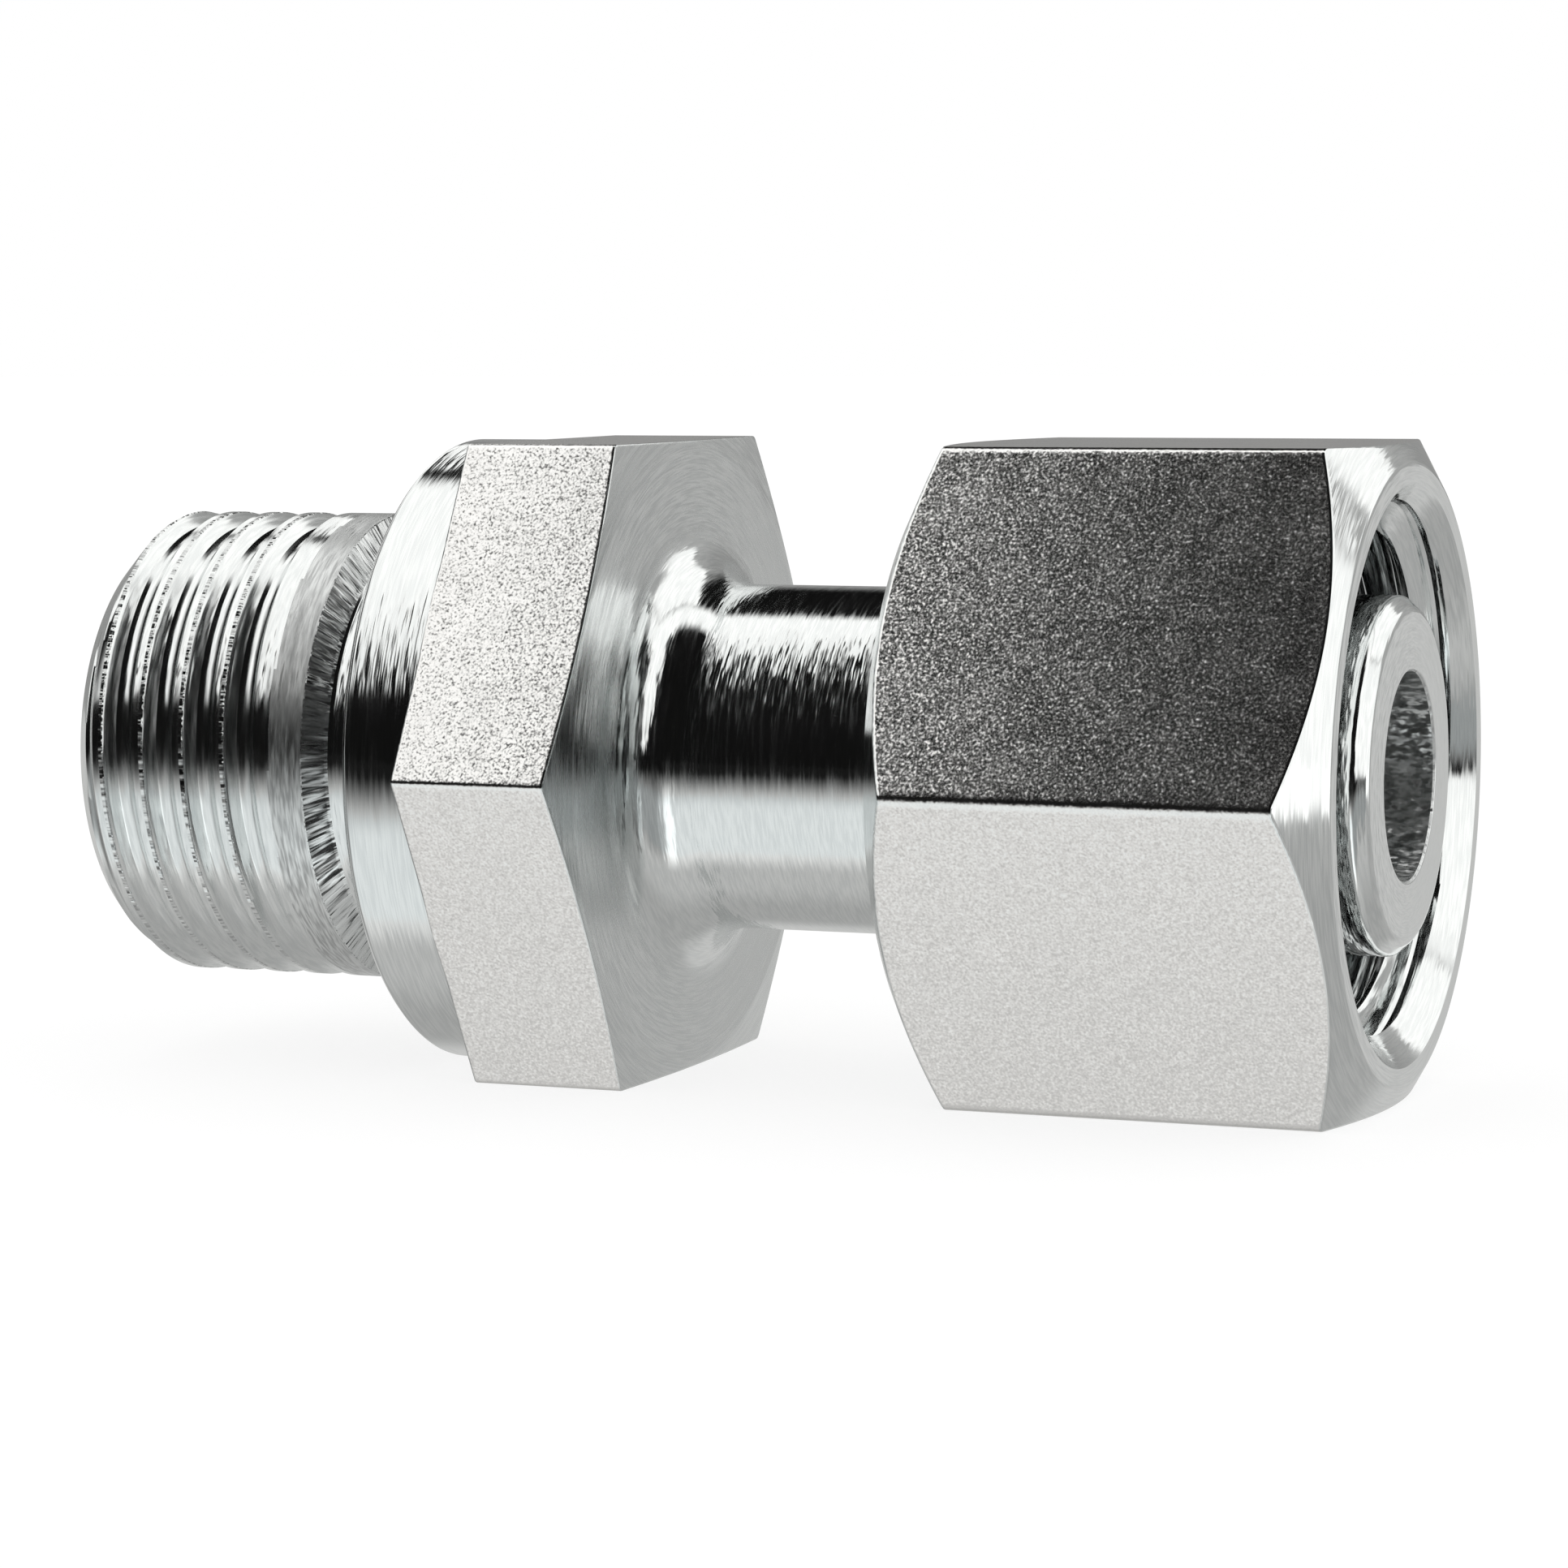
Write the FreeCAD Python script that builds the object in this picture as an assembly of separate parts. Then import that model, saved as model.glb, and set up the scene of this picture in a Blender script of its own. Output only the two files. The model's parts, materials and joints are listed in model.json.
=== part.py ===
"""Straight screw-in compression fitting for 12 mm tube, with an adjustable spigot.

One turned steel body carries a parallel G 3/8 stud, a sealing collar, a 22 mm hexagon
and a 12 mm spigot. A loose M18 x 1.5 union nut and its cutting ring slide on the spigot.
A soft seal sits in a recess of the collar. Millimetres, +X along the axis from the stud to
the spigot, +Z up, two flats of each hexagon level. The origin is on the axis, in the plane
of the collar's sealing face.
"""
import FreeCAD, Part
import math
import os

V = FreeCAD.Vector

# Stud: parallel pipe thread G 3/8, drawn at its major diameter
stud_d = 16.66
stud_length = 12.0
stud_end_chamfer = 1.0
undercut_depth = 1.08
undercut_width = 2.35
undercut_lead = 0.5

# Soft seal, square in section with broken corners, round the undercut
seal_width = 2.1
seal_thickness = 1.6
seal_proud = 0.1
seal_outer_clearance = 0.1
seal_inner_clearance = 0.1
seal_edge = 0.25

# Collar, as wide as the hexagon bar allows; its lip stands round the seal
collar_lip = 1.45
collar_length = 2.7
collar_edge = 0.2

# Body hexagon, its spigot end turned to a shallow cone outside the face circle
body_hex_length = 5.75
body_face_inset = 0.2
body_face_angle = 8.0

# Spigot, joined to the hexagon by a large cove
spigot_d = 12.0
spigot_length = 25.55
cove_r = 2.2
spigot_end_chamfer = 0.45
bore_d = 7.0
bore_edge = 0.15

# Cutting ring, loose on the spigot and against the seat in the nut
ring_length = 7.8
ring_rear_wall = 0.55
ring_shoulder_wall = 1.3
ring_nose_wall = 0.4
ring_shoulder_length = 2.2
ring_bore_clearance = 0.05
ring_seat_gap = 0.08
ring_lip = 0.7
ring_groove_length = 1.4
ring_groove_depth = 0.3

# Union nut: M18 x 1.5 inside, drawn at its minor diameter, its mouth level with the spigot's end
nut_length = 15.5
nut_face_inset = 0.62
nut_chamfer_angle = 30.0
nut_thread_clearance = 0.84
nut_relief_depth = 0.95
nut_relief_width = 1.8
nut_mouth_land = 0.69
nut_wall_length = 3.6
nut_hole_clearance = 0.1
nut_hole_edge = 0.4
nut_seat_angle = 45.0

# Places and radii that follow from the sizes above; one spanner size fits both hexagons
hex_end_x = collar_length + body_hex_length
spigot_end_x = hex_end_x + spigot_length
spigot_r = spigot_d / 2
undercut_r = stud_d / 2 - undercut_depth
seal_inner_r = undercut_r + seal_inner_clearance
seal_outer_r = seal_inner_r + seal_width
recess_r = seal_outer_r + seal_outer_clearance
recess_depth = seal_thickness - seal_proud
collar_r = recess_r + collar_lip
spanner_flats = 2 * collar_r
ring_bore_r = spigot_r + ring_bore_clearance
ring_shoulder_r = ring_bore_r + ring_shoulder_wall
nut_rear_x = spigot_end_x - nut_length
nut_seat_x = nut_rear_x + nut_wall_length
nut_hole_r = spigot_r + nut_hole_clearance
nut_thread_r = ring_shoulder_r + nut_thread_clearance
nut_mouth_r = spanner_flats / 2 - nut_face_inset - nut_mouth_land
seat_slope = math.tan(math.radians(nut_seat_angle))
corner_overshoot = 1.0


def turned(points):
    """Solid turned about X from (x, radius) points, or (x, radius, arc middle) for an arc."""
    edges = []
    count = len(points)
    for index in range(count):
        here = points[index]
        there = points[(index + 1) % count]
        start = V(here[0], 0, here[1])
        end = V(there[0], 0, there[1])
        if len(there) == 3:
            middle = V(there[2][0], 0, there[2][1])
            edges.append(Part.Arc(start, middle, end).toShape())
        else:
            edges.append(Part.LineSegment(start, end).toShape())
    face = Part.Face(Part.Wire(edges))
    return face.revolve(V(0, 0, 0), V(1, 0, 0), 360)


def arc_middle(centre_x, centre_r, radius, degrees):
    """Point on an arc, the angle taken from +X towards larger radii."""
    turn = math.radians(degrees)
    return (centre_x + radius * math.cos(turn), centre_r + radius * math.sin(turn))


def hexagon_bar(start_x, length):
    """Hexagonal bar along X with two flats level."""
    corner_r = spanner_flats / math.sqrt(3)
    corners = []
    for index in range(7):
        turn = math.radians(60 * index)
        corners.append(V(start_x, corner_r * math.cos(turn), corner_r * math.sin(turn)))
    return Part.Face(Part.makePolygon(corners)).extrude(V(length, 0, 0))


def chamfered_hexagon(start_x, length, inset, angle, both_ends):
    """Hexagon bar turned to a cone at its far end, or at both; inset sets the face circle."""
    face_r = spanner_flats / 2 - inset
    far_r = spanner_flats / math.sqrt(3) + corner_overshoot
    cut = (far_r - face_r) * math.tan(math.radians(angle))
    end_x = start_x + length
    points = [(start_x, 0)]
    if both_ends:
        points.append((start_x, face_r))
        points.append((start_x + cut, far_r))
    else:
        points.append((start_x, far_r))
    points.append((end_x - cut, far_r))
    points.append((end_x, face_r))
    points.append((end_x, 0))
    return hexagon_bar(start_x, length).common(turned(points))


def make_fitting_body():
    stud_r = stud_d / 2
    bore_r = bore_d / 2
    cove_end_x = hex_end_x + cove_r
    stud = turned([
        (-stud_length, 0),
        (-stud_length, stud_r - stud_end_chamfer),
        (-stud_length + stud_end_chamfer, stud_r),
        (-undercut_width - undercut_lead, stud_r),
        (-undercut_width, undercut_r),
        (recess_depth, undercut_r),
        (recess_depth, recess_r),
        (0, recess_r),
        (0, collar_r - collar_edge),
        (collar_edge, collar_r),
        (collar_length, collar_r),
        (collar_length, 0),
    ])
    cove_middle = arc_middle(cove_end_x, spigot_r + cove_r, cove_r, 225)
    neck = turned([
        (collar_length, 0),
        (collar_length, spigot_r + cove_r),
        (hex_end_x, spigot_r + cove_r),
        (cove_end_x, spigot_r, cove_middle),
        (spigot_end_x - spigot_end_chamfer, spigot_r),
        (spigot_end_x, spigot_r - spigot_end_chamfer),
        (spigot_end_x, 0),
    ])
    hexagon = chamfered_hexagon(
        collar_length, body_hex_length, body_face_inset, body_face_angle, False
    )
    bore = turned([
        (-stud_length, 0),
        (-stud_length, bore_r + bore_edge),
        (-stud_length + bore_edge, bore_r),
        (spigot_end_x - bore_edge, bore_r),
        (spigot_end_x, bore_r + bore_edge),
        (spigot_end_x, 0),
    ])
    return stud.fuse([hexagon, neck]).cut(bore).removeSplitter()


def make_union_nut():
    relief_r = nut_thread_r + nut_relief_depth
    relief_start_x = nut_seat_x + (relief_r - nut_hole_r) / seat_slope
    relief_end_x = relief_start_x + nut_relief_width
    blank = chamfered_hexagon(
        nut_rear_x, nut_length, nut_face_inset, nut_chamfer_angle, True
    )
    hollow = turned([
        (nut_rear_x, 0),
        (nut_rear_x, nut_hole_r + nut_hole_edge),
        (nut_rear_x + nut_hole_edge, nut_hole_r),
        (nut_seat_x, nut_hole_r),
        (relief_start_x, relief_r),
        (relief_end_x, relief_r),
        (relief_end_x + nut_relief_depth, nut_thread_r),
        (spigot_end_x - (nut_mouth_r - nut_thread_r), nut_thread_r),
        (spigot_end_x, nut_mouth_r),
        (spigot_end_x, 0),
    ])
    return blank.cut(hollow).removeSplitter()


def make_cutting_ring():
    rear_r = ring_bore_r + ring_rear_wall
    nose_r = ring_bore_r + ring_nose_wall
    neck_r = (ring_shoulder_r + nose_r) / 2
    rear_x = nut_seat_x + (rear_r - nut_hole_r) / seat_slope + ring_seat_gap
    shoulder_x = rear_x + (ring_shoulder_r - rear_r) / seat_slope
    shoulder_end_x = shoulder_x + ring_shoulder_length
    front_x = rear_x + ring_length
    groove_end_x = front_x - ring_lip
    groove_start_x = groove_end_x - ring_groove_length
    return turned([
        (rear_x, ring_bore_r),
        (rear_x, rear_r),
        (shoulder_x, ring_shoulder_r),
        (shoulder_end_x, ring_shoulder_r),
        (shoulder_end_x + ring_shoulder_r - neck_r, neck_r),
        (front_x, nose_r),
        (front_x, ring_bore_r),
        (groove_end_x, ring_bore_r),
        (groove_end_x - ring_groove_depth, ring_bore_r + ring_groove_depth),
        (groove_start_x, ring_bore_r + ring_groove_depth),
        (groove_start_x - ring_groove_depth, ring_bore_r),
    ])


def make_stud_seal():
    front_x = -seal_proud
    return turned([
        (recess_depth, seal_inner_r),
        (recess_depth, seal_outer_r),
        (front_x + seal_edge, seal_outer_r),
        (front_x, seal_outer_r - seal_edge),
        (front_x, seal_inner_r + seal_edge),
        (front_x + seal_edge, seal_inner_r),
    ])


pieces = {
    "fitting_body": make_fitting_body(),
    "union_nut": make_union_nut(),
    "cutting_ring": make_cutting_ring(),
    "stud_seal_ring": make_stud_seal(),
}

os.makedirs("parts", exist_ok=True)
for name, shape in pieces.items():
    shape.exportStep("parts/" + name + ".step")
    box = shape.BoundBox
    print(
        name, len(shape.Solids), "solid", shape.isValid(), "volume", round(shape.Volume, 1),
        "x", round(box.XMin, 2), round(box.XMax, 2),
    )
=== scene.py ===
"""Straight screw-in compression fitting for 12 mm tube: its look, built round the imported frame."""
import json
import math

import bmesh
import bpy
import numpy as np
from mathutils import Matrix, Vector


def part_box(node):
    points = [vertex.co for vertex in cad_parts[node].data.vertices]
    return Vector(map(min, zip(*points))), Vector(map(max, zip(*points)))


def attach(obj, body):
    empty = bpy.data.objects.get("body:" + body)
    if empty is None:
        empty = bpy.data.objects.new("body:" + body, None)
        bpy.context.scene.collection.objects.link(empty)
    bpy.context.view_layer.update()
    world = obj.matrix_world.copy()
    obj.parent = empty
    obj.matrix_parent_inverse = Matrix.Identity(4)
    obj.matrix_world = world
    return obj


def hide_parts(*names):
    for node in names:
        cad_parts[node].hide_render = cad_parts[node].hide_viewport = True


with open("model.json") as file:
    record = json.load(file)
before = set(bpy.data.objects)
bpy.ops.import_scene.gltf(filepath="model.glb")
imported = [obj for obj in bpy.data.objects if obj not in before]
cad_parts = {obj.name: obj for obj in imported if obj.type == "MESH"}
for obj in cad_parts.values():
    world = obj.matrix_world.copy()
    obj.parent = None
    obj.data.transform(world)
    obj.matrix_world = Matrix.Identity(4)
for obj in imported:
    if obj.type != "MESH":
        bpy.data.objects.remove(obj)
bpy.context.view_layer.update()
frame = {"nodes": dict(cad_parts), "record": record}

# Fitting body: one piece turned from hexagon steel bar and zinc plated, with a threaded stud, a
# sealing collar, a spanner hexagon, a large cove, a plain spigot and a bore right through. The thread
# is cut last, into the turned blank. Sizes are in millimetres.
MM = 0.001
mounts = {mount["name"]: mount["dims"] for mount in frame["record"]["mounts"]}
body_low, body_high = (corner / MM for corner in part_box("fitting_body"))
flats_r = body_high.z
stud_end_x = body_low.x
spigot_end_x = body_high.x
stud_r = mounts["stud_thread"]["r_mm"]
bore_r = mounts["through_bore"]["r_mm"]
spigot_r = mounts["tube_end"]["r_mm"]
stud_end_chamfer = 1.0
stud_face_r = stud_r - stud_end_chamfer
thread_end_x = stud_end_x + stud_end_chamfer + mounts["stud_thread"]["length_mm"]
undercut_lead = 0.5
undercut_x = thread_end_x + undercut_lead
undercut_depth = 1.08
undercut_r = stud_r - undercut_depth
recess_x = 1.5
recess_r = 9.55
collar_x = 2.7
collar_edge = 0.2
hexagon_end_x = 8.45
face_inset = 0.2
face_r = flats_r - face_inset
face_slope = math.tan(math.radians(8))
long_edge_r = 0.25
cove_r = 2.2
spigot_end_chamfer = 0.45
bore_edge = 0.08

# How far back the turned corners are rounded
bore_corner = 0.02
collar_root_corner = 0.03
collar_corner = 0.05
hexagon_corner = 0.06
spigot_corner = 0.12
undercut_corner = 0.12


def turn_lines():
    """Angles of the lines along the axis: a degree apart, and closer at the hexagon's corners."""
    near_corner = [0, 0.22, 0.44, 0.66, 0.95, 1.35, 1.9, 2.6, 3.4]
    half = near_corner + list(np.linspace(4.3, 30, 27))
    sixth = sorted(set(half + [60 - angle for angle in half if angle > 0]))
    return np.radians([corner * 60 + angle for corner in range(6) for angle in sixth] + [360])


TURNS = turn_lines()


def hexagon_reach(soft):
    """Distance from the axis to a hexagon with corners on +Y and -Y, rounded by the given radius."""
    corner = np.abs((TURNS + math.pi / 6) % (math.pi / 3) - math.pi / 6)
    flat = flats_r / np.cos(math.pi / 6 - corner)
    centre = (flats_r - soft) / math.cos(math.pi / 6)
    inside = np.maximum(soft**2 - (centre * np.sin(corner)) ** 2, 0)
    rounded = centre * np.cos(corner) + np.sqrt(inside)
    tangent = math.atan((flats_r - soft) * math.tan(math.pi / 6) / flats_r)
    return np.where(math.pi / 6 - corner > tangent, rounded, flat)


body_hexagon = hexagon_reach(long_edge_r)


def way_to(here, there):
    """Direction and distance from each point of a row to its neighbour in another row."""
    step = there - here
    length = np.maximum(np.hypot(*step), 1e-9)
    return step / length, length


def turned_rows(outline):
    """Rows of points round the axis from (x, radius, corner) points. A corner that isn't nought is
    rounded that far back, with a holding row at each side that keeps its neighbours' shading true."""
    rounded_share = 0.4
    held_share = 0.46
    holding_gap = 0.05
    spread = []
    for x, r, _ in outline:
        spread.append(np.array([np.broadcast_to(x, TURNS.shape), np.broadcast_to(r, TURNS.shape)]))
    rows = []
    for index, here in enumerate(spread):
        corner = outline[index][2]
        if not corner:
            rows.append(here)
            continue
        back, back_length = way_to(here, spread[index - 1])
        ahead, ahead_length = way_to(here, spread[index + 1])
        reach = np.minimum(corner, rounded_share * np.minimum(back_length, ahead_length))
        start = here + back * reach
        end = here + ahead * reach
        hold_back = here + back * np.minimum(reach + holding_gap, held_share * back_length)
        hold_ahead = here + ahead * np.minimum(reach + holding_gap, held_share * ahead_length)
        rows += [hold_back, start, 0.25 * start + 0.5 * here + 0.25 * end, end, hold_ahead]
    return rows


def arc_points(centre_x, centre_r, radius, start, end, steps):
    """Outline points along an arc, its angles in degrees from +X towards larger radii."""
    angles = np.radians(np.linspace(start, end, steps + 1))
    return [(centre_x + radius * math.cos(a), centre_r + radius * math.sin(a), 0) for a in angles]


def thread_rows(start_x, end_x, pitch, phases, radius):
    """Rows that run along a right-hand helix from one end of a thread to the other. They stop at the
    ends, and one turn further round each row meets the row one pitch on."""
    rows = []
    for turn in range(-2, math.ceil((end_x - start_x) / pitch) + 1):
        for phase in np.sort(phases % 1):
            helix = start_x + pitch * (turn + phase + TURNS / (2 * math.pi))
            x = np.clip(helix, start_x, end_x)
            rows.append(np.array([x, radius(x)]))
    return rows


def thread_phases(pitch, crest):
    """Shares of a pitch at which rows run along the thread: a close pair at both edges of its crest, one
    that bounds the crest's torn edge, and an even spread over the groove, whose root is round."""
    half_crest = crest / 2
    close = 0.02
    clear_of_edge = 0.1
    torn_width = 0.14
    groove = np.linspace(half_crest + clear_of_edge, pitch - half_crest - clear_of_edge, 10)
    torn_edge = [half_crest - torn_width, half_crest - close, half_crest + close]
    other_edge = [pitch - half_crest - close, pitch - half_crest + close]
    return np.sort([*groove, *torn_edge, *other_edge]) / pitch


def turned_mesh(name, blocks):
    """Closed mesh from blocks of rows; a block marked with 1 is the stock for the thread's cut."""
    weld = 0.0002 * MM
    sliver = 0.00001 * MM
    rows = [row for block, _ in blocks for row in block]
    marks = [mark for block, mark in blocks for _ in block]
    count, lines = len(rows), len(TURNS)
    x, r = np.array(rows).transpose(1, 0, 2)
    points = np.stack([x, r * np.cos(TURNS), r * np.sin(TURNS)], axis=2).reshape(-1, 3) * MM
    faces = []
    for row in range(count):
        for line in range(lines - 1):
            here, there = row * lines + line, (row + 1) % count * lines + line
            faces.append((here, here + 1, there + 1, there))
    mesh = bpy.data.meshes.new(name)
    mesh.from_pydata(points.tolist(), [], faces)
    stock = mesh.attributes.new("thread_stock", "FLOAT", "POINT")
    stock.data.foreach_set("value", np.repeat(np.array(marks, float), lines))
    shell = bmesh.new()
    shell.from_mesh(mesh)
    bmesh.ops.remove_doubles(shell, verts=shell.verts, dist=weld)
    bmesh.ops.dissolve_degenerate(shell, edges=shell.edges, dist=sliver)
    bmesh.ops.recalc_face_normals(shell, faces=shell.faces)
    shell.to_mesh(mesh)
    shell.free()
    mesh.shade_smooth()
    return mesh


# The stud's thread: its turns and the place of its grooves are the photograph's
stud_pitch = 1.58
stud_crest = 0.4
stud_root = 0.58
stud_flank = math.radians(30)
stud_groove_x = -9.2
stud_crest_x = stud_groove_x - stud_pitch / 2
stud_runout_x = thread_end_x - 2.25
runout_length = 1.0
thread_margin = 0.03
thread_margin_drop = 0.02
cove_steps = 14


def stud_stock(x):
    """Radius of the stud before its thread is cut: a chamfer at the free end, then a cylinder."""
    return np.minimum(stud_r, stud_face_r + (x - stud_end_x))


bore_to_stud = turned_rows([
    (spigot_end_x - bore_edge, bore_r, 0),
    (stud_end_x + bore_edge, bore_r, bore_corner),
    (stud_end_x, bore_r + bore_edge, bore_corner),
    (stud_end_x, stud_face_r - thread_margin, 0),
    (stud_end_x, stud_face_r, 0),
])
stud_phases = thread_phases(stud_pitch, stud_crest) + (stud_crest_x - stud_end_x) / stud_pitch
stud_thread = thread_rows(stud_end_x, thread_end_x, stud_pitch, stud_phases, stud_stock)
crease_x = hexagon_end_x - (body_hexagon - face_r) * face_slope
stud_to_bore = turned_rows([
    (thread_end_x, stud_r, 0),
    (thread_end_x + thread_margin, stud_r - thread_margin_drop, 0),
    (undercut_x, undercut_r, undercut_corner),
    (recess_x, undercut_r, collar_corner),
    (recess_x, recess_r, collar_corner),
    (0, recess_r, collar_corner),
    (0, flats_r - collar_edge, collar_corner),
    (collar_edge, flats_r, collar_corner),
    (collar_x, flats_r, collar_root_corner),
    (collar_x, body_hexagon, hexagon_corner),
    (crease_x, body_hexagon, hexagon_corner),
    (hexagon_end_x, face_r, hexagon_corner),
    *arc_points(hexagon_end_x + cove_r, spigot_r + cove_r, cove_r, 180, 270, cove_steps),
    (spigot_end_x - spigot_end_chamfer, spigot_r, spigot_corner),
    (spigot_end_x, spigot_r - spigot_end_chamfer, spigot_corner),
    (spigot_end_x, bore_r + bore_edge, bore_corner),
    (spigot_end_x - bore_edge, bore_r, 0),
])
body_blocks = [(bore_to_stud, 0), (stud_thread, 1), (stud_to_bore[:-1], 0)]
body_mesh = turned_mesh("fitting_body_blank", body_blocks)
fitting = bpy.data.objects.new("fitting_body_look", body_mesh)
bpy.context.scene.collection.objects.link(fitting)


# The body's finishes, which the nut shares: bright zinc on turned steel, which keeps the lathe's fine
# marks round the axis, and the same zinc on the drawn and blasted flats, where each grain leans its own
# way. The trees of nodes are written as formulas, in which a wire stands for a node's output.
class Wire:
    """Output of a node, which a formula uses like a number."""

    def __init__(self, socket):
        self.socket = socket
        self.tree = socket.id_data

    def __add__(self, other):
        return reckon("ADD", self, other)

    def __sub__(self, other):
        return reckon("SUBTRACT", self, other)

    def __mul__(self, other):
        return reckon("MULTIPLY", self, other)

    def __truediv__(self, other):
        return reckon("DIVIDE", self, other)


def feed(node, values):
    """Give inputs of a node, by name or number, their values: wires, numbers, vectors or other nodes. A
    node stands for its first output."""
    for key, value in dict(values).items():
        if isinstance(value, Wire):
            node.id_data.links.new(value.socket, node.inputs[key])
        elif isinstance(value, bpy.types.Node):
            node.id_data.links.new(value.outputs[0], node.inputs[key])
        else:
            node.inputs[key].default_value = value


def new_node(tree, kind, values=(), **settings):
    """Node with its settings and its inputs' values."""
    node = tree.nodes.new(kind)
    for name, setting in settings.items():
        setattr(node, name, setting)
    feed(node, values)
    return node


def read(tree, kind, label):
    """Wire from a node that has no inputs, such as a coordinate."""
    return Wire(tree.nodes.new(kind).outputs[label])


def reckon(operation, first, *others):
    """Wire from a maths node."""
    values = enumerate([first, *others])
    return Wire(new_node(first.tree, "ShaderNodeMath", values, operation=operation).outputs[0])


def largest(first, *others):
    """Wire that carries the largest of several values."""
    for other in others:
        first = reckon("MAXIMUM", first, other)
    return first


def hypotenuse(one, other):
    """Wire with the length of two sides at a right angle, such as the distance from the axis."""
    return reckon("SQRT", one * one + other * other)


def steer(operation, first, *others):
    """Wire from a vector maths node."""
    node = new_node(first.tree, "ShaderNodeVectorMath", enumerate([first, *others]), operation=operation)
    return Wire(node.outputs["Vector"])


def scaled(vector, factor):
    """Wire with a vector made longer or shorter."""
    node = new_node(vector.tree, "ShaderNodeVectorMath", {0: vector, "Scale": factor}, operation="SCALE")
    return Wire(node.outputs["Vector"])


def split(vector):
    """Wires with the three parts of a vector."""
    return [Wire(part) for part in new_node(vector.tree, "ShaderNodeSeparateXYZ", {0: vector}).outputs]


def combine(tree, *parts):
    """Wire with the vector of three parts."""
    return Wire(new_node(tree, "ShaderNodeCombineXYZ", enumerate(parts)).outputs[0])


def ramp(value, low_in, high_in, low_out, high_out, kind="SMOOTHSTEP"):
    """Wire that goes from low_out to high_out as value goes from low_in to high_in."""
    values = enumerate([value, low_in, high_in, low_out, high_out])
    return Wire(new_node(value.tree, "ShaderNodeMapRange", values, interpolation_type=kind).outputs[0])


def between(value, low, high, soft):
    """Wire that is one from low to high and nought outside, with ends of the given softness."""
    opening = ramp(value, low - soft, low + soft, 0.0, 1.0)
    closing = ramp(value, high - soft, high + soft, 1.0, 0.0)
    return opening * closing


def noise(place, offset, scale, detail):
    """Wires with the height and the colour of a noise."""
    values = {"Vector": place, "W": offset, "Scale": scale, "Detail": detail}
    node = new_node(place.tree, "ShaderNodeTexNoise", values, noise_dimensions="4D")
    return Wire(node.outputs["Fac"]), Wire(node.outputs["Color"])


def blend(share, first, second):
    """Wire with a mix of two colours."""
    values = {"Factor": share, "A": first, "B": second}
    return Wire(new_node(share.tree, "ShaderNodeMix", values, data_type="RGBA").outputs["Result"])


def place_in_mm(tree):
    """Wire with the place on the object, in millimetres."""
    return scaled(read(tree, "ShaderNodeTexCoord", "Object"), 1 / MM)


def lean_normal(tree, leaning):
    """Wire with the surface's normal, leaning by a vector."""
    facing = read(tree, "ShaderNodeNewGeometry", "Normal")
    return steer("NORMALIZE", steer("ADD", facing, leaning))


def to_world(vector):
    """Wire with a direction on the object as a direction in the room."""
    node = new_node(
        vector.tree, "ShaderNodeVectorTransform", {0: vector},
        vector_type="VECTOR", convert_from="OBJECT", convert_to="WORLD",
    )
    return Wire(node.outputs[0])


def marks_group(name, **inputs):
    """Shader group with number inputs at their usual values, which puts out a normal, a roughness and a
    tone. Gives the group, the inputs' wires and the node that takes the outputs."""
    group = bpy.data.node_groups.new(name, "ShaderNodeTree")
    for label, usual in inputs.items():
        socket = group.interface.new_socket(label, in_out="INPUT", socket_type="NodeSocketFloat")
        socket.default_value = usual
    for label, kind in (("normal", "Vector"), ("roughness", "Float"), ("tone", "Float")):
        group.interface.new_socket(label, in_out="OUTPUT", socket_type="NodeSocket" + kind)
    given = [Wire(socket) for socket in group.nodes.new("NodeGroupInput").outputs if socket.name]
    return group, given, group.nodes.new("NodeGroupOutput")


def lathe_marks():
    """Turning marks: fine strokes round the axis, whose sides lean across the stroke."""
    tree, given, out = marks_group(
        "lathe_marks", marks_per_mm=16.0, stroke_turns=9.0, lean_across=0.22, lean_middle=0.5,
        lean_round=0.06, smooth=0.06, rough=0.17,
    )
    marks_per_mm, stroke_turns, lean_across, lean_middle, lean_round, smooth, rough = given
    along, across, up = split(place_in_mm(tree))
    radius = hypotenuse(across, up)
    side = across / largest(radius, 0.001)
    rise = up / largest(radius, 0.001)
    strokes = combine(tree, along * marks_per_mm, side * stroke_turns, rise * stroke_turns)
    depth = radius * marks_per_mm
    first, _ = noise(strokes, depth, 1.0, 1.0)
    second, _ = noise(strokes, depth + 40.0, 0.5, 2.0)
    round_way = to_world(combine(tree, 0.0, rise * -1.0, side))
    across_way = steer("CROSS_PRODUCT", read(tree, "ShaderNodeNewGeometry", "Normal"), round_way)
    across_lean = scaled(across_way, (first - lean_middle) * lean_across)
    round_lean = scaled(round_way, (second - 0.5) * lean_round)
    feed(out, {
        "normal": lean_normal(tree, steer("ADD", across_lean, round_lean)),
        "roughness": ramp(second, 0.35, 0.7, smooth, rough),
        "tone": ramp(first, 0.3, 0.75, 0.92, 1.0),
    })
    return tree


def blast_grain():
    """Blasted grain: each small patch of the surface leans its own way and glints by itself."""
    tree, given, out = marks_group("blast_grain", grains_per_mm=11.0, lean=0.24, smooth=0.16, rough=0.19)
    grains_per_mm, lean, smooth, rough = given
    grain, grain_colour = noise(place_in_mm(tree), 0.0, grains_per_mm, 1.0)
    broad, _ = noise(place_in_mm(tree), 7.0, 0.8, 3.0)
    grain_way = to_world(steer("SUBTRACT", grain_colour, (0.5, 0.5, 0.5)))
    feed(out, {
        "normal": lean_normal(tree, scaled(grain_way, lean)),
        "roughness": ramp(broad, 0.3, 0.7, smooth, rough),
        "tone": ramp(grain, 0.3, 0.7, 0.9, 1.0),
    })
    return tree


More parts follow.
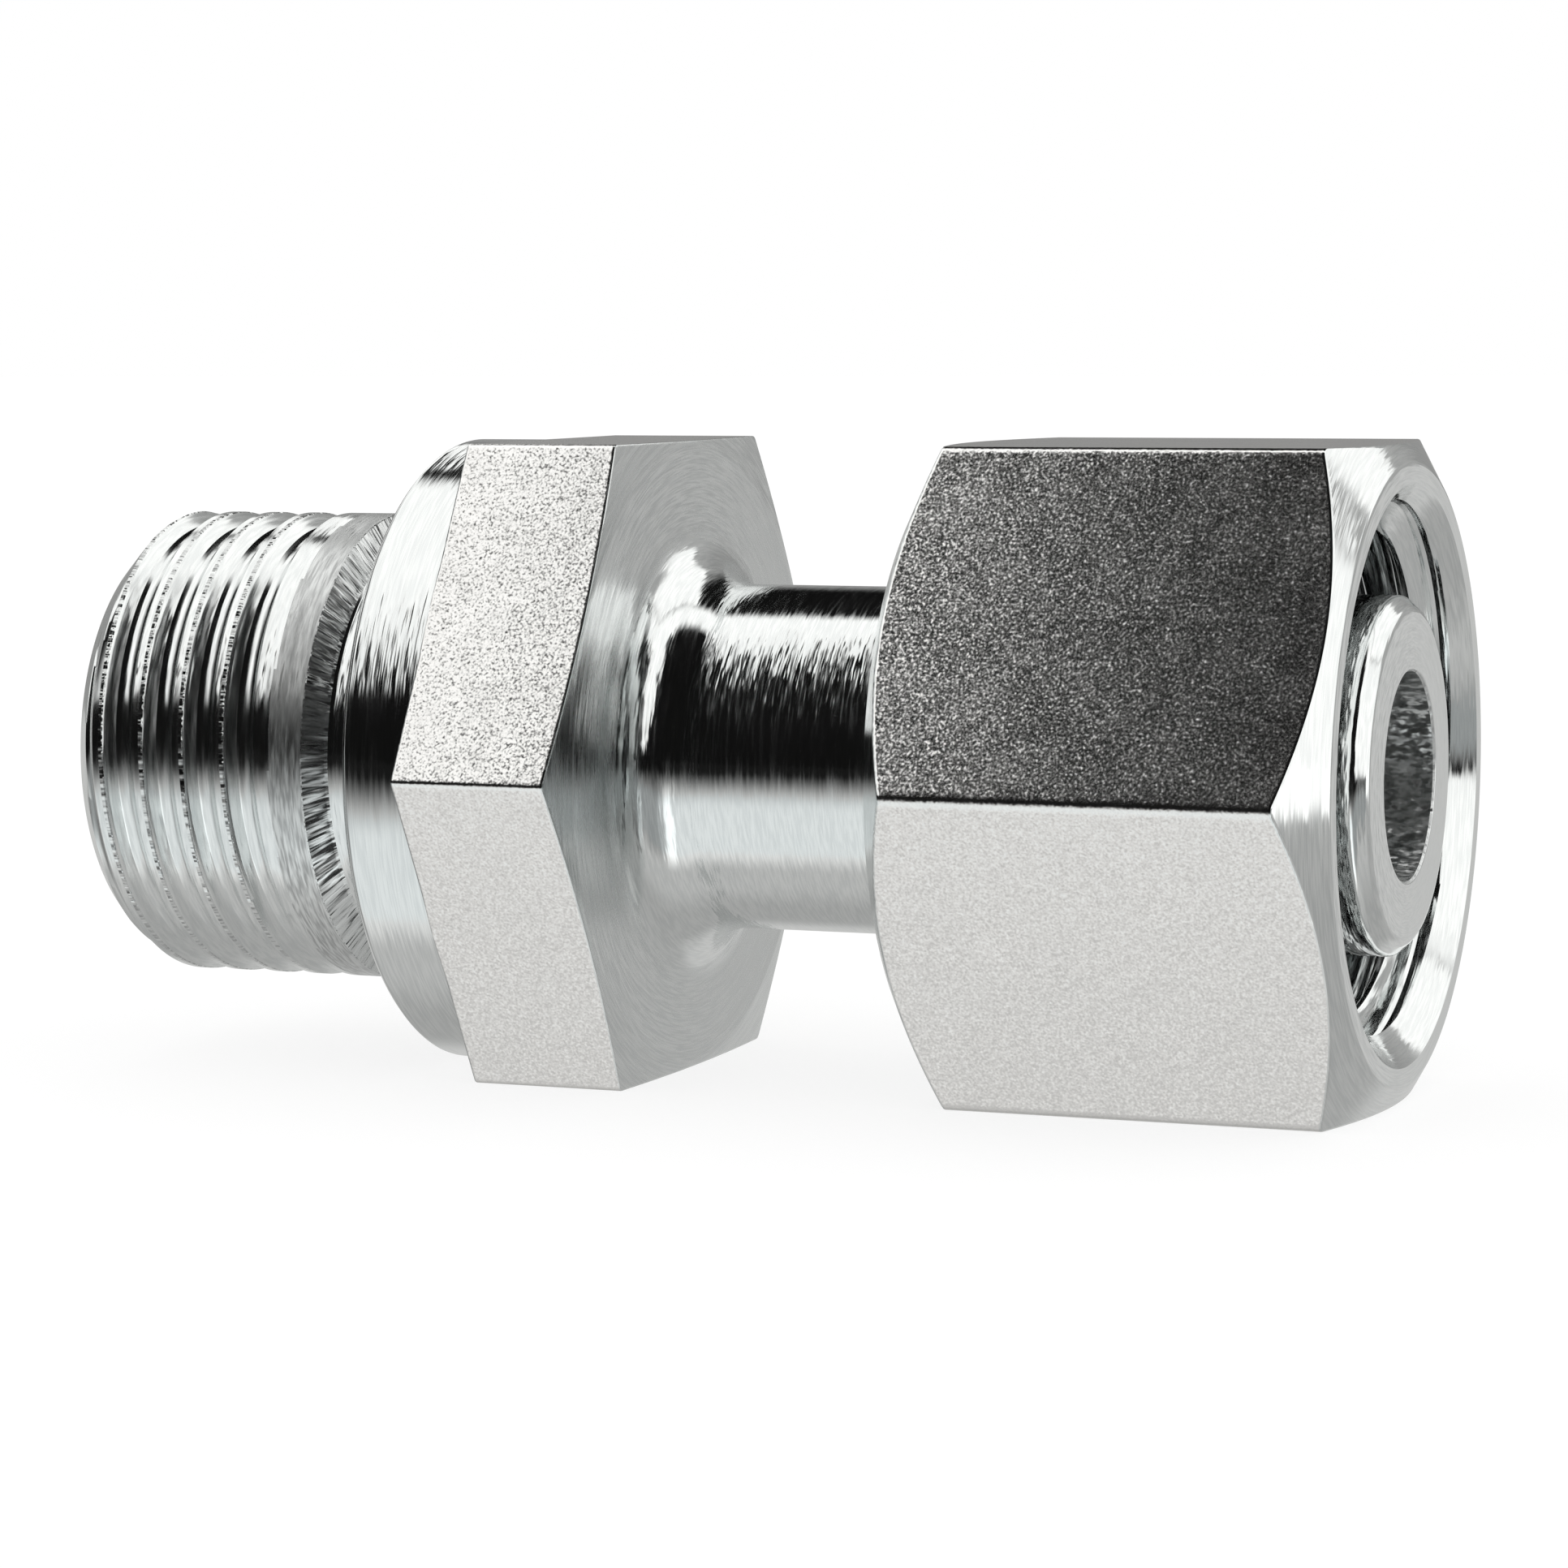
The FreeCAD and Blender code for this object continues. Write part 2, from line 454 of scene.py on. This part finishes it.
def marked_metal(name, group, light, dark, **values):
    """Metal whose marks come from a shared group, with the material's own values."""
    material = bpy.data.materials.new(name)
    material.use_nodes = True
    tree = material.node_tree
    marks = new_node(tree, "ShaderNodeGroup", node_tree=group)
    feed(marks, values)
    tone = ramp(Wire(marks.outputs["tone"]), 0.9, 1.0, 0.0, 1.0)
    feed(tree.nodes["Principled BSDF"], {
        "Base Color": blend(tone, (*dark, 1), (*light, 1)),
        "Metallic": 1.0,
        "Roughness": Wire(marks.outputs["roughness"]),
        "Normal": Wire(marks.outputs["normal"]),
    })
    return material


LATHE_MARKS = lathe_marks()
BLAST_GRAIN = blast_grain()
bright = (0.86, 0.875, 0.87)
deep = (0.74, 0.76, 0.76)
worn = (0.5, 0.51, 0.51)
warm = (0.95, 0.94, 0.925)
grey = (0.9, 0.89, 0.88)
turned_zinc = marked_metal("turned_zinc", LATHE_MARKS, bright, deep)
blasted_zinc = marked_metal("blasted_zinc", BLAST_GRAIN, warm, grey)

# The hexagon's end face, which the cutter crossed more coarsely
faced_zinc = marked_metal(
    "faced_zinc", LATHE_MARKS, bright, deep,
    lean_across=0.3, smooth=0.2, rough=0.34,
)

# The thread: calm in its grooves and on its crests, torn along one edge of each crest, and dragged on
# its last land
thread_zinc = marked_metal(
    "thread_zinc", LATHE_MARKS, bright, deep,
    marks_per_mm=12.0, lean_across=0.11, smooth=0.1, rough=0.2,
)
crest_zinc = marked_metal(
    "crest_zinc", LATHE_MARKS, bright, deep,
    marks_per_mm=10.0, stroke_turns=12.0, lean_across=0.22, lean_round=0.06, smooth=0.1, rough=0.2,
)
torn_zinc = marked_metal(
    "torn_zinc", LATHE_MARKS, bright, worn,
    marks_per_mm=1.0, stroke_turns=85.0, lean_across=1.6, lean_round=1.0, smooth=0.12, rough=0.25,
)
dragged_zinc = marked_metal(
    "dragged_zinc", LATHE_MARKS, bright, worn,
    marks_per_mm=12.0, stroke_turns=12.0, lean_across=0.4, lean_round=0.15, smooth=0.3, rough=0.46,
)

# The undercut's wall, with short chatter marks across it, and the drilled bore
chattered_zinc = marked_metal(
    "chattered_zinc", LATHE_MARKS, bright, deep,
    marks_per_mm=1.0, stroke_turns=85.0, lean_across=2.6, lean_middle=0.7, lean_round=1.0,
    smooth=0.26, rough=0.44,
)
drilled_zinc = marked_metal(
    "drilled_zinc", LATHE_MARKS, bright, worn,
    marks_per_mm=3.0, stroke_turns=22.0, lean_across=2.4, lean_round=0.8, smooth=0.3, rough=0.6,
)


def give_finish(mesh, finish, start_x, end_x, low_r, high_r, steepest=2.0):
    """Give a finish to the faces between two places on the axis and two radii. The steepest is how much
    a face's normal may point along the axis."""
    if finish.name not in mesh.materials:
        mesh.materials.append(finish)
    slot = mesh.materials.find(finish.name)
    for face in mesh.polygons:
        x = face.center.x / MM
        radius = math.hypot(*face.center.yz) / MM
        if start_x < x < end_x and low_r < radius < high_r and abs(face.normal.x) < steepest:
            face.material_index = slot


# Bounds of the finishes. The faced end reaches a little way into the cove, and the last land is what
# the thread's run-out leaves of the stud.
beyond = 50.0
in_bore_r = bore_r + bore_edge - 0.01
faced_end_x = hexagon_end_x + 0.1
near_flats_r = flats_r * 0.9995
square_to_axis = 0.05
last_land_x = thread_end_x - 1.25
last_land_end_x = thread_end_x + 0.01
skin = 0.05
body_mesh.materials.append(turned_zinc)
give_finish(body_mesh, drilled_zinc, -beyond, beyond, 0, in_bore_r)
give_finish(body_mesh, faced_zinc, crease_x.min(), faced_end_x, spigot_r, beyond)
give_finish(body_mesh, blasted_zinc, collar_x, hexagon_end_x, near_flats_r, beyond, square_to_axis)
give_finish(body_mesh, chattered_zinc, thread_end_x, undercut_x, undercut_r + skin, beyond)


# The body's thread, cut by a tool that the nut shares: it follows a helix with straight flanks, a round
# root and a thin flat crest, and runs out before the undercut. It cuts outside or inside.
def thread_cutter():
    """Geometry tree that cuts a thread into the points marked as thread stock."""
    tree = bpy.data.node_groups.new("thread_cutter", "GeometryNodeTree")
    sizes = ("Pitch", "Crest x", "Crest radius", "Crest width", "Root width", "Flank angle",
             "Runout start", "Runout length", "Outward")
    finishes = ("Groove finish", "Crest finish", "Torn finish")
    tree.interface.new_socket("Blank", in_out="INPUT", socket_type="NodeSocketGeometry")
    for label in sizes:
        tree.interface.new_socket(label, in_out="INPUT", socket_type="NodeSocketFloat")
    for label in finishes:
        tree.interface.new_socket(label, in_out="INPUT", socket_type="NodeSocketMaterial")
    tree.interface.new_socket("Cut", in_out="OUTPUT", socket_type="NodeSocketGeometry")
    given = {socket.name: Wire(socket) for socket in tree.nodes.new("NodeGroupInput").outputs}
    pitch, crest_x, crest_radius, crest, root, flank_angle, runout_start, runout_length, outward = (
        given[label] for label in sizes
    )

    along, across, up = split(read(tree, "GeometryNodeInputPosition", 0))
    radius = hypotenuse(across, up)
    turns = reckon("ARCTAN2", up, across) / (2 * math.pi)
    phase = reckon("FRACT", (along - crest_x) / pitch - turns)
    from_root = (phase - 0.5) * pitch
    to_crest = (pitch - crest) * 0.5 - reckon("ABSOLUTE", from_root)
    slope = reckon("TANGENT", flank_angle)
    depth = (pitch - crest - root) * 0.5 / slope
    root_roundness = root * 0.7
    profile = reckon("SMOOTH_MIN", to_crest / slope, depth, root_roundness)
    runout = (along - from_root - runout_start) / runout_length
    clear_of_stock = depth * 1.15
    rise = ramp(runout, 0.0, 1.0, 0.0, clear_of_stock, "LINEAR")
    cut = largest(profile - rise, 0.0)

    stock = new_node(tree, "GeometryNodeInputNamedAttribute", {"Name": "thread_stock"}, data_type="FLOAT")
    is_stock = reckon("GREATER_THAN", Wire(stock.outputs[0]), 0.5)
    surface = outward * crest_radius - cut
    kept = outward * reckon("MINIMUM", outward * radius, surface)
    share = kept / radius
    spot = combine(tree, along, across * share, up * share)
    moved = new_node(tree, "GeometryNodeSetPosition", {
        "Geometry": given["Blank"],
        "Selection": is_stock,
        "Position": spot,
    })
    painted = new_node(tree, "GeometryNodeRealizeInstances", {"Geometry": moved})

    top_skin = 0.012 * MM
    torn_middle = 0.05 * MM
    torn_half = 0.08 * MM
    from_top = reckon("ABSOLUTE", radius - crest_radius)
    on_crest = is_stock * reckon("LESS_THAN", from_top, top_skin)
    past_edge = phase * pitch - crest * 0.5
    on_edge = reckon("LESS_THAN", reckon("ABSOLUTE", past_edge + torn_middle), torn_half)
    torn = is_stock * on_edge * reckon("LESS_THAN", rise, depth)
    for label, chosen in zip(finishes, (is_stock, on_crest, torn)):
        painted = new_node(tree, "GeometryNodeSetMaterial", {
            "Geometry": painted,
            "Selection": chosen,
            "Material": given[label],
        })
    feed(tree.nodes.new("NodeGroupOutput"), {"Cut": painted})
    return tree


THREAD_CUTTER = thread_cutter()


def cut_thread(piece, **values):
    """Cut the thread into the piece's blank and keep the result as its plain mesh."""
    sharpest_smooth_edge = math.radians(24)
    inputs = [item for item in THREAD_CUTTER.interface.items_tree if item.in_out == "INPUT"]
    sockets = {item.name: item.identifier for item in inputs}
    cutter = piece.modifiers.new("thread", "NODES")
    cutter.node_group = THREAD_CUTTER
    for label, value in values.items():
        cutter[sockets[label.replace("_", " ")]] = value
    ready = piece.evaluated_get(bpy.context.evaluated_depsgraph_get())
    mesh = bpy.data.meshes.new_from_object(ready)
    mesh.set_sharp_from_angle(angle=sharpest_smooth_edge)
    piece.modifiers.clear()
    piece.data = mesh
    mesh.name = piece.name


cut_thread(
    fitting, Pitch=stud_pitch * MM, Crest_x=stud_crest_x * MM, Crest_radius=stud_r * MM,
    Crest_width=stud_crest * MM, Root_width=stud_root * MM, Flank_angle=stud_flank,
    Runout_start=stud_runout_x * MM, Runout_length=runout_length * MM, Outward=1.0,
    Groove_finish=thread_zinc, Crest_finish=crest_zinc, Torn_finish=torn_zinc,
)
give_finish(fitting.data, dragged_zinc, last_land_x, last_land_end_x, stud_r - skin, stud_r + skin)
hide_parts("fitting_body")
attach(fitting, "stud_body")


# Union nut: cut from the same hexagon bar, chamfered at both ends, bored and threaded M18 x 1.5 inside,
# with a countersunk mouth, a relief, a seat for the ring and a hole for the tube. It is loose.
nut_low, nut_high = (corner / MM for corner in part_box("union_nut"))
nut_face_inset = 0.62
nut_face_r = flats_r - nut_face_inset
nut_mouth_land = 0.69
nut_mouth_r = nut_face_r - nut_mouth_land
nut_thread_r = mounts["nut_thread"]["r_mm"]
nut_hole_clearance = 0.1
nut_hole_r = spigot_r + nut_hole_clearance
nut_hole_edge = 0.4
nut_wall = 3.6
seat_x = nut_low.x + nut_wall
relief_depth = 0.95
relief_width = 1.8
relief_r = nut_thread_r + relief_depth
relief_x = seat_x + relief_r - nut_hole_r
relief_end_x = relief_x + relief_width
nut_thread_x = relief_end_x + relief_r - nut_thread_r
relief_corner = 0.1
chamfer_slope = math.tan(math.radians(30))
nut_long_edge_r = 0.45
nut_hexagon = hexagon_reach(nut_long_edge_r)
nut_pitch = 1.5
nut_crest = 0.2
nut_root = 0.3
nut_flank = math.radians(27)
nut_crest_x = nut_high.x - 1.83
mouth_land_hold = 0.04

# The nut's thread runs right through its mouth, so its run-out starts a metre away
far_away = 1.0


def nut_stock(x):
    """Radius of the nut's bore before its thread is cut, with the countersink at its mouth."""
    return np.maximum(nut_thread_r, nut_mouth_r - (nut_high.x - x))


front_crease = nut_high.x - (nut_hexagon - nut_face_r) * chamfer_slope
rear_crease = nut_low.x + (nut_hexagon - nut_face_r) * chamfer_slope
nut_outside = turned_rows([
    (nut_high.x, nut_mouth_r, 0),
    (nut_high.x, nut_mouth_r + mouth_land_hold, 0),
    (nut_high.x, nut_face_r, hexagon_corner),
    (front_crease, nut_hexagon, hexagon_corner),
    (rear_crease, nut_hexagon, hexagon_corner),
    (nut_low.x, nut_face_r, hexagon_corner),
    (nut_low.x, nut_hole_r + nut_hole_edge, hexagon_corner),
    (nut_low.x + nut_hole_edge, nut_hole_r, hexagon_corner),
    (seat_x, nut_hole_r, hexagon_corner),
    (relief_x, relief_r, relief_corner),
    (relief_end_x, relief_r, relief_corner),
    (nut_thread_x, nut_thread_r, 0),
])
nut_phases = thread_phases(nut_pitch, nut_crest) + (nut_crest_x - nut_thread_x) / nut_pitch
nut_thread = thread_rows(nut_thread_x, nut_high.x, nut_pitch, nut_phases, nut_stock)
nut_mesh = turned_mesh("union_nut_blank", [(nut_outside, 0), (nut_thread, 1)])
nut_mesh.materials.append(turned_zinc)
give_finish(nut_mesh, blasted_zinc, nut_low.x, nut_high.x, near_flats_r, beyond, square_to_axis)
union_nut = bpy.data.objects.new("union_nut_look", nut_mesh)
bpy.context.scene.collection.objects.link(union_nut)
cut_thread(
    union_nut, Pitch=nut_pitch * MM, Crest_x=nut_crest_x * MM, Crest_radius=nut_thread_r * MM,
    Crest_width=nut_crest * MM, Root_width=nut_root * MM, Flank_angle=nut_flank,
    Runout_start=far_away, Runout_length=far_away, Outward=-1.0,
    Groove_finish=turned_zinc, Crest_finish=turned_zinc, Torn_finish=turned_zinc,
)
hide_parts("union_nut")
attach(union_nut, "nut")


# Cutting ring: a turned and hardened steel ring, loose on the spigot and hidden in the nut, where it
# bites into the tube when the nut is tightened. It keeps its solid from the frame.
ring_light = (0.62, 0.62, 0.63)
ring_dark = (0.5, 0.5, 0.51)
hardened = marked_metal("hardened_steel", LATHE_MARKS, ring_light, ring_dark, smooth=0.25, rough=0.4)
ring_mesh = frame["nodes"]["cutting_ring"].data
ring_mesh.materials.clear()
ring_mesh.materials.append(hardened)


# Soft seal: a moulded rubber ring, square in section, pressed into the collar's recess round the
# undercut. It keeps its solid from the frame.
def seal_rubber():
    """Black rubber with a faint bloom and fine pores."""
    material = bpy.data.materials.new("seal_rubber")
    material.use_nodes = True
    tree = material.node_tree
    bloom, _ = noise(place_in_mm(tree), 0.0, 1.2, 4.0)
    pores, _ = noise(place_in_mm(tree), 3.0, 9.0, 2.0)
    feed(tree.nodes["Principled BSDF"], {
        "Base Color": blend(bloom, (0.012, 0.012, 0.013, 1), (0.035, 0.035, 0.036, 1)),
        "Roughness": ramp(bloom, 0.3, 0.7, 0.4, 0.6),
        "Normal": new_node(tree, "ShaderNodeBump", {"Distance": 0.02 * MM, "Height": pores}),
    })
    return material


seal_mesh = frame["nodes"]["stud_seal_ring"].data
seal_mesh.materials.clear()
seal_mesh.materials.append(seal_rubber())


# Studio: a pale floor just under the fitting and a soft white room. What metal mirrors is a long soft
# box overhead, screens at the right and high behind, a bright sheet low in front with a dark gap above
# it, and a grey floor behind.
floor_half = 2.0
floor_gap = 0.01
floor_z = -(flats_r + floor_gap) * MM
corners = ((-1, -1), (1, -1), (1, 1), (-1, 1))
floor_points = [(x * floor_half, y * floor_half, floor_z) for x, y in corners]
floor_mesh = bpy.data.meshes.new("floor")
floor_mesh.from_pydata(floor_points, [], [(0, 1, 2, 3)])
floor = bpy.data.objects.new("floor", floor_mesh)
bpy.context.scene.collection.objects.link(floor)


def pale_floor():
    """White to the camera with the fitting's soft shadow on it; mirrors look past it at the room."""
    material = bpy.data.materials.new("pale_floor")
    material.use_nodes = True
    tree = material.node_tree
    tree.nodes.remove(tree.nodes["Principled BSDF"])
    to_camera = read(tree, "ShaderNodeLightPath", "Is Camera Ray")
    to_mirror = read(tree, "ShaderNodeLightPath", "Is Glossy Ray")
    through_glass = read(tree, "ShaderNodeLightPath", "Is Transmission Ray")
    matt = new_node(tree, "ShaderNodeBsdfDiffuse", {"Color": (0.95, 0.95, 0.95, 1)})
    glow = new_node(tree, "ShaderNodeEmission", {"Strength": 1.05})
    clear = new_node(tree, "ShaderNodeBsdfTransparent")
    lit = new_node(tree, "ShaderNodeMixShader", {0: to_camera * 0.8, 1: matt, 2: glow})
    mirrored = largest(to_mirror, through_glass)
    seen = new_node(tree, "ShaderNodeMixShader", {0: mirrored, 1: lit, 2: clear})
    feed(tree.nodes["Material Output"], {"Surface": seen})
    return material


floor_mesh.materials.append(pale_floor())


def overhead_box(side, angle):
    """Soft box along the fitting. Its front edge lies low at both ends and high in the middle, and its
    left end fades."""
    slant = reckon("MINIMUM", side * 312.0 + 175.2, 94.0)
    right_end = ramp(side, 0.45, 0.95, 94.0, 2.0)
    low = reckon("MINIMUM", largest(slant, 27.0), right_end)
    high = largest(side * -120.0 + 70.0, 112.0)
    return between(angle, low, high, 4.0) * ramp(side, -0.85, -0.5, 0.0, 1.0)


def screens(side, depth, angle):
    """White screens at the right and high behind, the left one with a slanting end."""
    right_back = ramp(side, 0.68, 0.78, 0.0, 1.0) * ramp(angle, 90.0, 115.0, 0.0, 1.0)
    right_front = ramp(side, 0.8, 0.95, 0.0, 0.5) * ramp(depth, -0.5, -0.3, 0.0, 1.0)
    left_start = ramp(side, -0.435, -0.405, 132.0, 162.0, "LINEAR")
    back_left = ramp(side, -0.41, -0.37, 1.0, 0.0) * between(angle, left_start, 160.0, 3.0)
    back_right = between(side, 0.3, 0.6, 0.03) * between(angle, 134.0, 163.0, 2.0)
    high_right = between(side, 0.12, 0.74, 0.03) * between(angle, 112.0, 150.0, 3.0)
    return largest(right_back, right_front, back_left, back_right, high_right)


def back_wall(side, angle):
    """Dim wall behind, below the screens."""
    low = ramp(side, -0.2, 0.1, 150.0, 130.0)
    return ramp(angle, low, low + 20.0, 0.0, ramp(side, 0.0, 0.3, 0.31, 0.42))


def front_sheet(side, angle):
    """Bright sheet low in front, which darkens upwards to a black gap at the fitting's own height."""
    under = ramp(angle, -115.0, -85.0, 0.42, 0.54)
    lit = largest(ramp(side, 0.35, 0.6, 0.86, 0.35), between(side, 0.12, 0.46, 0.1) * 1.3)
    gap = ramp(angle, -30.0, -5.0, 1.0, 0.012)
    return ramp(angle, -76.0, -60.0, under, lit) * gap * ramp(side, -0.85, -0.5, 0.35, 1.0)


def floor_behind(side, depth, rise, angle):
    """Grey floor behind, with a bright strip at its right end."""
    grey_floor = ramp(angle, -150.0, -130.0, ramp(side, 0.22, 0.38, 0.6, 0.45), 0.42)
    strip = ramp(side, 0.72, 0.8, 0.0, 1.35) * ramp(rise, -0.14, -0.1, 0.0, 1.0)
    return reckon("GREATER_THAN", depth, 0.0) * largest(grey_floor, strip)


def studio_room():
    """World that is plain white to the camera and a soft studio to the metal. Side is -1 at the left and
    1 at the right. Angle is 0 in front, 90 overhead, -90 underneath and 180 or -180 behind."""
    screen_glow = 1.18
    room_glow = 0.006
    world = bpy.data.worlds.new("studio_room")
    world.use_nodes = True
    tree = world.node_tree
    side, depth, rise = split(read(tree, "ShaderNodeTexCoord", "Generated"))
    angle = reckon("DEGREES", reckon("ARCTAN2", rise, depth * -1.0))
    lights = largest(overhead_box(side, angle), screens(side, depth, angle))
    above = largest(lights * screen_glow + room_glow, back_wall(side, angle))
    below = largest(front_sheet(side, angle), floor_behind(side, depth, rise, angle))
    value = ramp(ramp(rise, -0.01, 0.01, 0.0, 1.0), 0.0, 1.0, below, above, "LINEAR")
    tint = blend(between(angle, -62.0, -21.0, 2.0), (1, 1, 0.985, 1), (0.96, 1, 1, 1))
    to_camera = read(tree, "ShaderNodeLightPath", "Is Camera Ray")
    to_matt = read(tree, "ShaderNodeLightPath", "Is Diffuse Ray")
    plain = largest(to_camera, to_matt)
    feed(tree.nodes["Background"], {
        "Color": blend(plain, tint, (1, 1, 1, 1)),
        "Strength": ramp(plain, 0.0, 1.0, value, 1.0, "LINEAR"),
    })
    return world


bpy.context.scene.world = studio_room()

# Camera: a long lens slightly above the fitting and to its spigot end, where the photograph was taken.
camera_place = Vector((70.968, -151.745, 15.044)) * MM
camera_turn = math.radians(21.3257)
camera_drop = math.radians(5.6048)
camera_roll = math.radians(-0.284)
level = Vector((math.cos(camera_turn), math.sin(camera_turn), 0))
forward = Vector((-math.sin(camera_turn), math.cos(camera_turn), 0))
ahead = forward * math.cos(camera_drop) - Vector((0, 0, math.sin(camera_drop)))
upright = level.cross(ahead)
right = level * math.cos(camera_roll) + upright * math.sin(camera_roll)
above = upright * math.cos(camera_roll) - level * math.sin(camera_roll)
turning = Matrix((right, above, -ahead)).transposed()
lens = bpy.data.cameras.new("photo_camera")
lens.sensor_width = 36
lens.lens = 107.81
lens.clip_start = 0.001
lens.clip_end = 20
camera = bpy.data.objects.new("photo_camera", lens)
camera.matrix_world = Matrix.Translation(camera_place) @ turning.to_4x4()
bpy.context.scene.collection.objects.link(camera)
bpy.context.scene.camera = camera
bpy.context.scene.view_settings.view_transform = "Standard"
